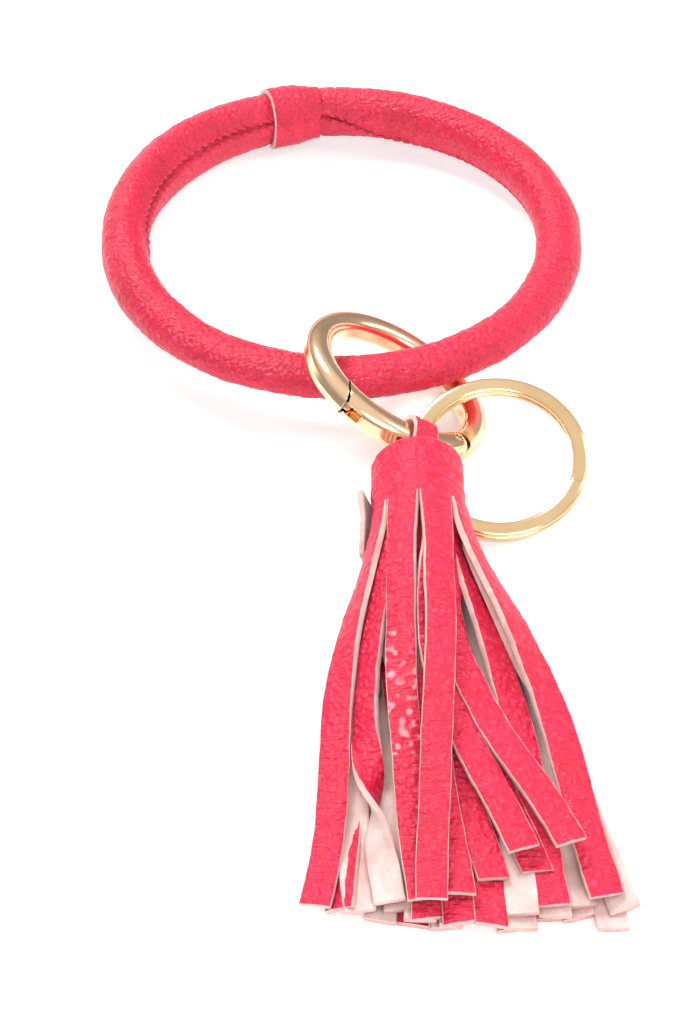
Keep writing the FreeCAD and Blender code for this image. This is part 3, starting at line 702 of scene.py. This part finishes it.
# ---------------------------------------------------------------------------------------------
# the tassel's header and hanging strap
# ---------------------------------------------------------------------------------------------
HEADER_LOW, HEADER_HIGH = box_mm("tassel_header")
HEADER_X, HEADER_Z = 13.1, 5.34      # the header's axis
HEADER_TOP = HEADER_HIGH.y           # its clip end
SLIT_Y = HEADER_LOW.y + 1.15         # where the slits stop
SHEET = 1.0                          # leather thickness
ROLL_RADIUS = 7.7                    # the outer turn's middle radius
ROLL_PITCH = 1.08
ROLL_START = 239.0
ROLL_TURNS = 1410.0                  # degrees
OUTSIDE_TURN = 372                   # degrees of the roll that can be seen
ROLL_GIRTH = 46                      # millimetres round the outer turn, about
HEADER_FOLDS = (2.2, 4.4, 6.1)       # down from the top


def make_header():
    """The uncut top of the sheet, rolled up, with a soft crest and creases round it."""
    depths = [0, 0.08, 0.22, 0.45]
    steps = 34
    reach = HEADER_TOP - SLIT_Y
    depths += [0.45 + (reach - 0.45) * (step + 1) / steps for step in range(steps)]
    thin = {0: 0.35, 1: 0.66, 2: 0.88}
    turns = [ROLL_TURNS * step / 360 for step in range(361)]
    verts = []

    def spot(turned, depth, offset, outside):
        radius = ROLL_RADIUS - ROLL_PITCH * turned / 360 + offset
        angle = math.radians(ROLL_START - turned)
        outward = Vector((math.cos(angle), 0, math.sin(angle)))
        middle = Vector((HEADER_X, HEADER_TOP - depth, HEADER_Z))
        point = middle + outward * radius
        if outside and turned < OUTSIDE_TURN:
            around = turned / 360 * ROLL_GIRTH
            wander = 0.8 * noise.noise(Vector((around / 5, 1.5, 0)))
            ripple = noise.noise(Vector((around / 6, (depth + wander) / 0.8, 4.0)))
            folds = sum(hump(depth + wander - place, 0.28) for place in HEADER_FOLDS)
            crest = -0.5 * (1 - smooth(depth, 0, 1.6)) ** 2
            height = grain(point) + 0.26 * ripple - 0.16 * folds + crest
            point += outward * height
        return point

    rings = len(turns)
    for turned in turns:
        for number, depth in enumerate(depths):
            verts.append(spot(turned, depth, SHEET / 2 * thin.get(number, 1), True))
        for number, depth in reversed(list(enumerate(depths))):
            verts.append(spot(turned, depth, -SHEET / 2 * thin.get(number, 1), False))
    across = 2 * len(depths)
    faces = loop_faces(rings, across, 0, False)
    row = [EDGE] + [GRAIN] * (len(depths) - 2) + [EDGE]
    row += [FLESH] * (len(depths) - 1) + [EDGE]
    slots = row * (rings - 1) + [EDGE, EDGE]
    faces.append(tuple(reversed(range(across))))
    faces.append(tuple((rings - 1) * across + step for step in range(across)))
    header = new_piece("header_leather", verts, faces, LEATHER_SIDES, slots)
    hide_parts("tassel_header")
    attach(header, "tassel")
    soften(header, CREASE_ANGLE)


STRAP_BEND, STRAP_WIDTH = 3.95, 4.5
STRAP_TAIL_START, STRAP_END = 5.85, 12.8     # from the gate's axis, towards the tips
TAIL_STEPS, LEAD_STEPS, BEND_STEPS = 12, 5, 40


def make_hanging_strap():
    """A hairpin of strap round the gate, both tails caught in the header."""
    swing = JOINTS["tassel_swing"]
    seat = in_mm(swing["pos_m"])
    along = Vector((0, -1, 0))
    across = -Vector(swing["axis"])
    across = (across - along * across.dot(along)).normalized()
    up = across.cross(along).normalized()
    seat += up * 0.15
    header = Vector((HEADER_X, HEADER_TOP, HEADER_Z))
    rise = (header - seat).dot(up)
    bend, apart = STRAP_BEND, SHEET / 2 + 0.05
    tail_start, end = STRAP_TAIL_START, STRAP_END

    def tangent(level):
        reach = math.hypot(tail_start, level)
        return math.atan2(level, tail_start), math.acos(bend / reach)

    toward, spread = tangent(rise + apart)
    top = toward + spread
    toward, spread = tangent(rise - apart)
    bottom = toward - spread + 2 * math.pi
    profile = [((end - (end - tail_start) * step / TAIL_STEPS, rise + apart), (0, 1))
               for step in range(TAIL_STEPS + 1)]
    first_turn = (bend * math.cos(top), bend * math.sin(top))
    for step in range(1, LEAD_STEPS):
        share = step / LEAD_STEPS
        reach = tail_start + (first_turn[0] - tail_start) * share
        level = rise + apart + (first_turn[1] - rise - apart) * share
        lean = math.atan2(math.cos(top) * share, 1 - share + share * math.sin(top))
        profile.append(((reach, level), (math.sin(lean), math.cos(lean))))
    for step in range(BEND_STEPS + 1):
        angle = top + (bottom - top) * step / BEND_STEPS
        profile.append(((bend * math.cos(angle), bend * math.sin(angle)),
                        (math.cos(angle), math.sin(angle))))
    last_turn = (bend * math.cos(bottom), bend * math.sin(bottom))
    for step in range(1, LEAD_STEPS):
        share = step / LEAD_STEPS
        reach = last_turn[0] + (tail_start - last_turn[0]) * share
        level = last_turn[1] + (rise - apart - last_turn[1]) * share
        lean = math.atan2(math.cos(bottom) * (1 - share), share - (1 - share) * math.sin(bottom))
        profile.append(((reach, level), (math.sin(lean), -math.cos(lean))))
    profile += [((tail_start + (end - tail_start) * step / TAIL_STEPS, rise - apart), (0, -1))
                for step in range(TAIL_STEPS + 1)]
    sections = []
    for number, ((reach, level), (out_along, out_up)) in enumerate(profile):
        middle = seat + along * reach + up * level
        normal = (along * out_along + up * out_up).normalized()
        wander = 0.06 * noise.noise(Vector((number / 3.0, 5.5, 0)))
        sections.append(band_ring(middle, across, normal, STRAP_WIDTH + wander, SHEET, 0.0,
                                  lambda spot: 0.6 * grain(spot)))
    tassel_band("hanging_strap", sections, "tassel_loop")


# ---------------------------------------------------------------------------------------------
# the fringe
# ---------------------------------------------------------------------------------------------
FLOOR = -8.26                        # the table's height in the row frame
STRIP_WIDTH = 4.75
ROOT_WIDTH = 5.15
STATIONS = 120
STRIP_SHEET = SHEET * 1.02
TABLE_GAP = 0.56                     # half a sheet and a little, above the table
RAISED_FROM, RAISED_TO = 0.42, 0.70    # where the raised grain with painted highlight spots shows along its strip


def bezier(points, share):
    a, b, c, d = points
    rest = 1 - share
    return (a * rest ** 3 + b * (3 * rest * rest * share) + c * (3 * rest * share * share)
            + d * share ** 3)


def strip_sections(root, radius, tip, aim, sway=(0, 0), face=90, twist=(0.15, 0.75), bow=0.05,
                   width=STRIP_WIDTH, cut=0.0, spin=None):
    """Cross-sections of one strip, from its root round the header to its free tip.

    root is the polar angle on the header, tip its end, aim the sideways and upward slope it
    ends with, sway its sideways and upward bulge half way, face the polar angle its grain side
    ends facing (reached between the twist shares of its length), cut the slant of its end. It
    turns the short way there unless spin says how many more degrees to turn.
    """
    turn = math.radians(root)
    outward = Vector((math.cos(turn), 0, math.sin(turn)))
    start = Vector((HEADER_X, SLIT_Y + 0.12, HEADER_Z)) + outward * radius
    end = Vector(tip)
    length = (end - start).length
    leave = Vector((0.10 * outward.x, -1, 0.05 * outward.z))
    arrive = Vector((aim[0], -1, aim[1])).normalized()
    points = (start, start + leave * (0.30 * length), end - arrive * (0.38 * length), end)
    turn_by = face - root
    if spin is None:
        turn_by = half_turn(turn_by)
    else:
        turn_by += spin
    sections = []
    for station in range(STATIONS + 1):
        share = station / STATIONS
        middle = bezier(points, share)
        belly = math.sin(math.pi * share) ** 2
        middle += Vector((sway[0] * belly, 0, sway[1] * belly))
        wave = noise.noise(Vector((share * 5, root / 30, radius))) * 0.35 * smooth(share, 0.1, 0.5)
        middle.z += wave
        ahead = bezier(points, min(1.0, share + 0.01)) - bezier(points, max(0.0, share - 0.01))
        slope = math.sin(2 * math.pi * share) * math.pi / length
        ahead = ahead.normalized() + Vector((sway[0] * slope, 0, sway[1] * slope))
        ahead.normalize()
        angle = math.radians(root + turn_by * smooth(share, *twist))
        normal = Vector((math.cos(angle), 0, math.sin(angle)))
        normal = (normal - ahead * normal.dot(ahead)).normalized()
        across = ahead.cross(normal).normalized()
        if cut:
            end_share = smooth(share, 0.97, 1.0)
            across = (across + ahead * (cut * end_share)).normalized()
        wide = ROOT_WIDTH + (width - ROOT_WIDTH) * smooth(share, 0.0, 0.25)
        wide += 0.22 * noise.noise(Vector((share * 24, root, radius * 3)))
        drift = noise.noise(Vector((share * 6, root / 9, radius + 4)))
        middle.x += 0.25 * drift * smooth(share, 0.05, 0.3)
        curve = (1 - smooth(share, 0.02, 0.5)) / radius + bow * smooth(share, 0.1, 0.6)
        low = FLOOR + TABLE_GAP + abs(across.z) * wide / 2
        middle.z = max(middle.z, low)
        rate = 0.7 + 0.5 * smooth(share, 0.1, 0.5)
        sections.append(band_ring(middle, across, normal, wide, STRIP_SHEET, curve,
                                  lambda spot, rate=rate: rate * grain(spot)))
    return sections


# the strips of the outer turn, each on its own: grain side out, slits between them
OUTER = ROLL_RADIUS
SECOND, THIRD, FOURTH = (OUTER - ROLL_PITCH * turn for turn in (1, 2, 3))
TOP_STRIPS = [
    dict(root=114.5, radius=OUTER, tip=(11.8, -147.6, -3.9), aim=(0.10, -0.12), sway=(-0.4, 0.6)),
    dict(root=73.5, radius=OUTER, tip=(13.0, -148.4, -2.3), aim=(-0.03, -0.17), sway=(0.3, 1.6)),
]
LEFT_STRIPS = [
    dict(root=155.5, radius=OUTER, tip=(-3.9, -147.2, -6.5), aim=(-0.26, -0.10), sway=(-3.0, -0.2),
         face=94, cut=0.10),
    dict(root=196.5, radius=OUTER, tip=(-0.4, -147.8, -7.6), aim=(-0.12, 0.0), sway=(-1.0, -0.5),
         face=120),
]
RIGHT_STRIPS = [
    dict(root=32.5, radius=OUTER, tip=(38.6, -146.3, -5.2), aim=(0.22, -0.12), sway=(2.6, 0.6),
         face=84, width=5.3, bow=0.03),
    dict(root=-8.5, radius=OUTER, tip=(41.4, -148.0, -6.6), aim=(0.30, -0.04), sway=(1.9, -0.2),
         face=-72, twist=(0.2, 0.6), spin=0),
]
# the strips that show between them, and those whose suede side has turned up
INNER_STRIPS = [
    dict(root=128, radius=SECOND, tip=(6.9, -147.4, -5.0), aim=(0.14, -0.06), sway=(-2.3, -0.4),
         face=-84, twist=(0.60, 0.96), spin=0),
    dict(root=146, radius=SECOND, tip=(2.7, -148.3, -6.5), aim=(0.16, -0.04), sway=(0.9, -3.2),
         face=268, twist=(0.34, 0.72), bow=0.10),
    dict(root=96, radius=THIRD, tip=(8.6, -148.0, -6.5), aim=(0.04, -0.04), sway=(-2.0, -2.6),
         face=-86, twist=(0.35, 0.6), spin=0),
    dict(root=64, radius=SECOND, tip=(17.2, -146.9, -3.6), aim=(0.16, -0.10), sway=(-1.6, 0.0),
         cut=-0.2),
    dict(root=50, radius=SECOND, tip=(22.2, -144.2, -4.1), aim=(0.26, -0.12), sway=(-3.2, -0.6),
         cut=-0.2),
    dict(root=58, radius=THIRD, tip=(28.7, -142.9, -4.2), aim=(0.34, -0.10), sway=(-2.2, -1.2),
         cut=-0.2),
    dict(root=66, radius=SECOND + 0.4, tip=(26.8, -140.5, -1.6), aim=(0.42, -0.14),
         sway=(-4.0, 0.7), cut=-0.1),
    dict(root=46, radius=SECOND + 0.3, tip=(33.7, -139.8, -1.1), aim=(0.46, -0.14),
         sway=(-5.0, 0.6), cut=-0.1),
    dict(root=34, radius=THIRD, tip=(31.0, -147.9, -5.3), aim=(0.10, -0.06), sway=(1.2, 0.3)),
    dict(root=16, radius=SECOND, tip=(34.8, -147.4, -6.4), aim=(0.12, 0.0), sway=(2.4, -1.2),
         face=-92, twist=(0.4, 0.75), spin=0),
]


LOWER_SEED = 5


def lower_strips():
    """The layers underneath, tips staggered along the table, most with the suede side up."""
    chance = random.Random(LOWER_SEED)
    layers = [  # how many, first and last root, radii, first tip, tip spacing, level, suede up
        (8, 212, 335, (OUTER, SECOND), 5.6, 4.85, -7.62, 0.9),
        (5, 215, 325, (THIRD, THIRD), 11.6, 4.85, -6.5, 0.9),
        (4, 170, 20, (FOURTH, FOURTH), 12.5, 4.6, -5.4, 0.25),
    ]
    strips = []
    for count, first, last, radii, left, spacing, level, suede_up in layers:
        for number in range(count):
            root = first + (last - first) * number / (count - 1)
            x = left + spacing * number + chance.uniform(-0.2, 0.2)
            y = -149.6 + chance.uniform(-1.3, 1.0) - 0.35 * (level + 7.6)
            slope = 0.10 * math.cos(math.radians(root))
            up = chance.random() < suede_up
            strips.append(dict(root=root, radius=radii[number % 2], tip=(x, y, level),
                               aim=(slope + chance.uniform(-0.04, 0.06), 0.0),
                               sway=(1.4 * math.cos(math.radians(root)), 0.0),
                               face=(-90 if up else 90) + chance.uniform(-4, 4),
                               twist=(0.1, 0.6), cut=chance.uniform(-0.2, 0.2)))
    return strips


def make_strips(name, recipes, nodes, body, raised=None):
    """A group of strips as one piece; raised is the number of the strip with the raised grain and painted
    highlight spots.
    """
    verts, faces, slots = [], [], []
    painted_glint_rings = range(int(STATIONS * RAISED_FROM), int(STATIONS * RAISED_TO))
    for number, recipe in enumerate(recipes):
        rings = painted_glint_rings if number == raised else ()
        band_mesh(verts, faces, slots, strip_sections(**recipe), rings)
    piece = new_piece(name, verts, faces, LEATHER_SIDES + [TASSEL_RAISED_PAINTED_GLINTS], slots)
    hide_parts(*nodes)
    if body == "tassel":
        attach(piece, body)
    else:
        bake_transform(piece)
    soften(piece, CREASE_ANGLE)


def loose_sections(first, last, count):
    """The sheet's outer end, standing on edge beside the header so its suede back shows."""
    lean = math.radians(22)
    across = Vector((-math.sin(lean), 0, math.cos(lean)))
    normal = Vector((-math.cos(lean), 0, -math.sin(lean)))
    sections = []
    for station in range(count + 1):
        y = first + (last - first) * station / count
        share = max(0.0, (HEADER_LOW.y - y) / 67.5)
        x = 4.2 - 0.3 * smooth(y, SLIT_Y, HEADER_TOP - 7) - 2.0 * share
        z = 4.4 - 9.0 * share
        middle = Vector((x, y, max(z, FLOOR + 2.7)))
        wide = 4.5 + 0.15 * noise.noise(Vector((y / 3, 1, 2)))
        sections.append(band_ring(middle, across, normal, wide, SHEET * 0.9, 0.03,
                                  lambda spot: 0.7 * grain(spot)))
    return sections


make_cover()
make_wrap()
make_stitches()
make_split_ring()
make_header()
make_hanging_strap()
tassel_band("loose_flap", loose_sections(HEADER_TOP - 7.0, HEADER_LOW.y - 6, 40),
            "sheet_end_flap")
make_strips("fringe_top", TOP_STRIPS, ["fringe_top_strips"], "fringe_top", raised=0)
make_strips("fringe_left", LEFT_STRIPS, ["fringe_left_strips", "loose_end_strip"], "fringe_left")
make_strips("fringe_right", RIGHT_STRIPS, ["fringe_right_strips"], "fringe_right")
make_strips("fringe_inner", INNER_STRIPS + lower_strips(), ["fringe_core_strips"], "tassel")

for node, finish in (("clasp_body", CLASP_GOLD), ("clasp_gate", CLASP_GOLD),
                     ("gate_hinge_pin", CLASP_GOLD), ("gate_spring", SPRING_STEEL),
                     ("bangle_core", CORE_RUBBER), ("core_joint_plug", CORE_RUBBER)):
    mesh = NODES[node].data
    mesh.materials.clear()
    mesh.materials.append(finish)


# ---------------------------------------------------------------------------------------------
# stage, light and camera
# ---------------------------------------------------------------------------------------------
FLOOR_REACH = 3.0                    # metres each way
WALL_STOPS = ((0.0, 1.4), (0.46, 0.45), (0.60, 1.0), (0.80, 1.75), (1.0, 2.0))
WORLD_STRENGTH = 0.46


def make_stage():
    corners = [Vector((x * FLOOR_REACH, y * FLOOR_REACH, FLOOR * MM))
               for x, y in ((-1, -1), (1, -1), (1, 1), (-1, 1))]
    mesh = bpy.data.meshes.new("floor")
    mesh.from_pydata(corners, [], [(0, 1, 2, 3)])
    nodes = Nodes("floor_paper")
    tone = nodes.ramp(nodes.noise(40, 3), (0.3, (0.93, 0.93, 0.93, 1)),
                      (0.7, (0.96, 0.96, 0.96, 1)))
    nodes.set(Base_Color=tone, Roughness=0.9, Specular_IOR_Level=0.1,
              Emission_Color=(1, 1, 1, 1), Emission_Strength=0.25)
    mesh.materials.append(nodes.material)
    floor = bpy.data.objects.new("floor", mesh)
    bpy.context.scene.collection.objects.link(floor)


def area_light(name, place, aim, size, power):
    lamp = bpy.data.lights.new(name, "AREA")
    lamp.shape = "RECTANGLE"
    lamp.size, lamp.size_y = size
    lamp.energy = power
    holder = bpy.data.objects.new(name, lamp)
    holder.location = place
    holder.rotation_euler = (Vector(aim) - Vector(place)).to_track_quat("-Z", "Y").to_euler()
    bpy.context.scene.collection.objects.link(holder)


def make_world():
    """White all round for the paper; reflections see a bright sky above darker walls."""
    world = bpy.data.worlds.new("studio")
    bpy.context.scene.world = world
    world.use_nodes = True
    tree = world.node_tree
    background = tree.nodes["Background"]
    path = tree.nodes.new("ShaderNodeLightPath")
    place = tree.nodes.new("ShaderNodeTexCoord")
    split = tree.nodes.new("ShaderNodeSeparateXYZ")
    ramp = tree.nodes.new("ShaderNodeValToRGB")
    mix = tree.nodes.new("ShaderNodeMix")
    mix.data_type = "RGBA"
    mix.inputs[6].default_value = (1.0, 1.0, 1.0, 1)
    elements = ramp.color_ramp.elements
    while len(elements) < len(WALL_STOPS):
        elements.new(0.5)
    for element, (position, grey) in zip(elements, WALL_STOPS):
        element.position = position
        element.color = (grey, grey * 0.985, grey * 0.96, 1)
    half = tree.nodes.new("ShaderNodeMath")
    half.operation = "MULTIPLY_ADD"
    half.inputs[1].default_value = 0.5
    half.inputs[2].default_value = 0.5
    tree.links.new(place.outputs["Generated"], split.inputs[0])
    tree.links.new(split.outputs["Z"], half.inputs[0])
    tree.links.new(half.outputs[0], ramp.inputs["Fac"])
    tree.links.new(path.outputs["Is Glossy Ray"], mix.inputs[0])
    tree.links.new(ramp.outputs["Color"], mix.inputs[7])
    tree.links.new(mix.outputs[2], background.inputs["Color"])
    background.inputs["Strength"].default_value = WORLD_STRENGTH


def make_camera():
    """The viewing angle: above the tassel's end, looking down and back."""
    camera = bpy.data.cameras.new("camera")
    camera.sensor_width = 36.0
    camera.lens = 63.28
    camera.clip_start = 0.01
    holder = bpy.data.objects.new("camera", camera)
    holder.location = (0.0, -0.28244, 0.22599)
    holder.rotation_euler = (math.radians(42.53), 0, 0)
    bpy.context.scene.collection.objects.link(holder)
    bpy.context.scene.camera = holder


make_stage()
make_world()
area_light("key", (-0.22, 0.34, 0.50), (0.01, -0.05, 0), (0.26, 0.20), 4.6)
area_light("front", (0.10, -0.55, 0.45), (0.01, -0.08, 0), (0.50, 0.20), 2.2)
area_light("right", (0.55, 0.05, 0.35), (0.01, -0.05, 0), (0.20, 0.40), 1.6)
make_camera()
bpy.context.scene.view_settings.view_transform = "Standard"
bpy.context.scene.view_settings.look = "None"
